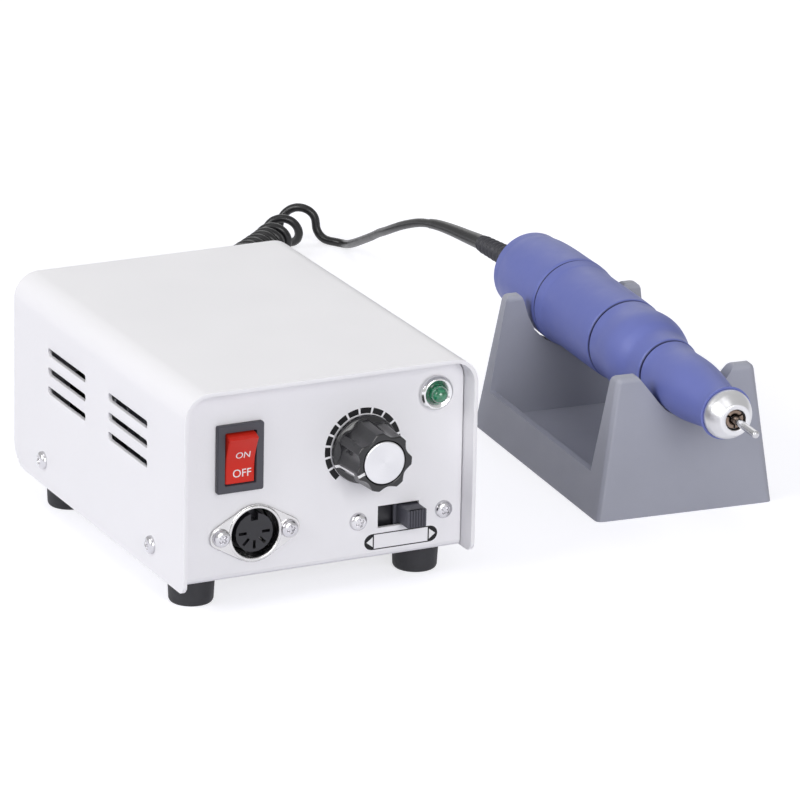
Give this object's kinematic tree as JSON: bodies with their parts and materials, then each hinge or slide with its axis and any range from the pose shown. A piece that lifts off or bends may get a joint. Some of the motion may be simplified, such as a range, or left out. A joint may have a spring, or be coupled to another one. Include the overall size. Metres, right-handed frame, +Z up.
{
  "type": "dental laboratory micromotor",
  "caption": "Benchtop dental laboratory micromotor: a metal control box, a slim motor handpiece that lies in a notched stand, and the handpiece's curly cord with its round plug.",
  "frame": {"origin": "on the bench plane, below the middle of the box around the control box, the stand and the handpiece; the free cord and its plug are left out of that box", "axes": "+Z up; the front panel faces -Y; the stand is on the +X side of the control box, turned 4 degrees clockwise seen from above"},
  "size_m": [0.2224, 0.3556, 0.071],
  "materials": {
    "white_paint": "satin",
    "black_rubber": "matte",
    "bright_steel": "polished",
    "dark_plastic": "semi-gloss",
    "red_plastic": "semi-gloss",
    "green_lens": "gloss",
    "spun_metal": "spun",
    "grey_plastic": "satin",
    "blue_plastic": "satin",
    "dark_steel": "dull",
    "copper": "enamelled",
    "brass": "turned",
    "board_green": "solder mask",
    "cord_black": "satin",
    "collar_grey": "matte",
    "carbon": "dull"
  },
  "bodies": {
    "control_unit": {"top_cover": "white_paint", "chassis": "white_paint", "rubber_foot_front_left": "black_rubber", "rubber_foot_front_right": "black_rubber", "rubber_foot_rear_left": "black_rubber", "rubber_foot_rear_right": "black_rubber", "cover_screw_front_left": "bright_steel", "cover_screw_front_right": "bright_steel", "cover_screw_rear_left": "bright_steel", "cover_screw_rear_right": "bright_steel", "rocker_frame": "dark_plastic", "socket_flange": "bright_steel", "socket_insert": "dark_plastic", "socket_screw_left": "bright_steel", "socket_screw_right": "bright_steel", "switch_screw_left": "bright_steel", "switch_screw_right": "bright_steel", "potentiometer": "dark_steel", "lamp_bezel": "bright_steel", "lamp_lens": "green_lens", "direction_switch_body": "dark_steel", "mains_inlet": "dark_plastic", "fuse_holder": "dark_plastic", "pedal_jack": "dark_plastic", "transformer_core": "dark_steel", "transformer_winding": "copper", "transformer_strap": "bright_steel", "circuit_board": "board_green", "heatsink": "spun_metal", "terminal_block": "green_lens", "stand": "grey_plastic", "handpiece_cord": "cord_black", "curly_cord": "cord_black", "cord_tail": "cord_black", "plug_grip": "dark_plastic", "plug_shell": "bright_steel"},
    "power_rocker": {"rocker_button": "red_plastic"},
    "speed_control": {"speed_knob": "dark_plastic", "knob_cap": "spun_metal", "potentiometer_shaft": "brass"},
    "direction_slider": {"direction_lever": "dark_plastic"},
    "fuse_carrier": {"fuse_cap": "dark_plastic"},
    "handpiece": {"rear_cap": "blue_plastic", "motor_housing": "blue_plastic", "front_sleeve": "blue_plastic", "nose_cap": "spun_metal", "front_bearing": "bright_steel", "rear_bearing": "bright_steel", "ring_magnet": "dark_steel", "brush_holder": "dark_plastic", "carbon_brush_left": "carbon", "carbon_brush_right": "carbon", "cord_collar": "collar_grey", "cord_boot": "cord_black"},
    "chuck_ring": {"twist_ring": "blue_plastic"},
    "rotor": {"spindle": "bright_steel", "rotor_core": "dark_steel", "windings_and_commutator": "copper"},
    "chuck_jaws": {"collet": "bright_steel"},
    "bur": {"bur_pin": "bright_steel"}
  },
  "joints": [
    {"name": "power_rocker_tilt", "type": "hinge", "parent": "control_unit", "child": "power_rocker", "pos_m": [-0.08892, -0.09552, 0.0477], "axis": [-1, 0, 0], "range_deg": [0, 24]},
    {"name": "speed_turn", "type": "hinge", "parent": "control_unit", "child": "speed_control", "pos_m": [-0.04802, -0.09522, 0.0448], "axis": [0, 1, 0], "range_deg": [-18, 252]},
    {"name": "direction_slide", "type": "slide", "parent": "control_unit", "child": "direction_slider", "axis": [-1, 0, 0], "range_m": [0, 0.0068]},
    {"name": "fuse_turn", "type": "hinge", "parent": "control_unit", "child": "fuse_carrier", "pos_m": [-0.03142, 0.02388, 0.028], "axis": [0, 1, 0], "range_deg": [0, 60]},
    {"name": "handpiece_lift", "type": "slide", "parent": "control_unit", "child": "handpiece", "axis": [0, 0, 1], "range_m": [0, 0.08]},
    {"name": "chuck_twist", "type": "hinge", "parent": "handpiece", "child": "chuck_ring", "pos_m": [0.07705, -0.03761, 0.0413], "axis": [-0.0698, -0.9976, 0], "range_deg": [0, 60]},
    {"name": "spindle_spin", "type": "hinge", "parent": "handpiece", "child": "rotor", "pos_m": [0.07705, -0.03761, 0.0413], "axis": [-0.0698, -0.9976, 0], "continuous": true},
    {"name": "collet_slide", "type": "slide", "parent": "rotor", "child": "chuck_jaws", "axis": [-0.0698, -0.9976, 0], "range_m": [0, 0.0008]},
    {"name": "bur_pull", "type": "slide", "parent": "chuck_jaws", "child": "bur", "axis": [-0.0698, -0.9976, 0], "range_m": [0, 0.032]}
  ],
  "couplings": [
    {"joint": "collet_slide", "follows": "chuck_twist", "m_per_rad": 0.00076}
  ]
}
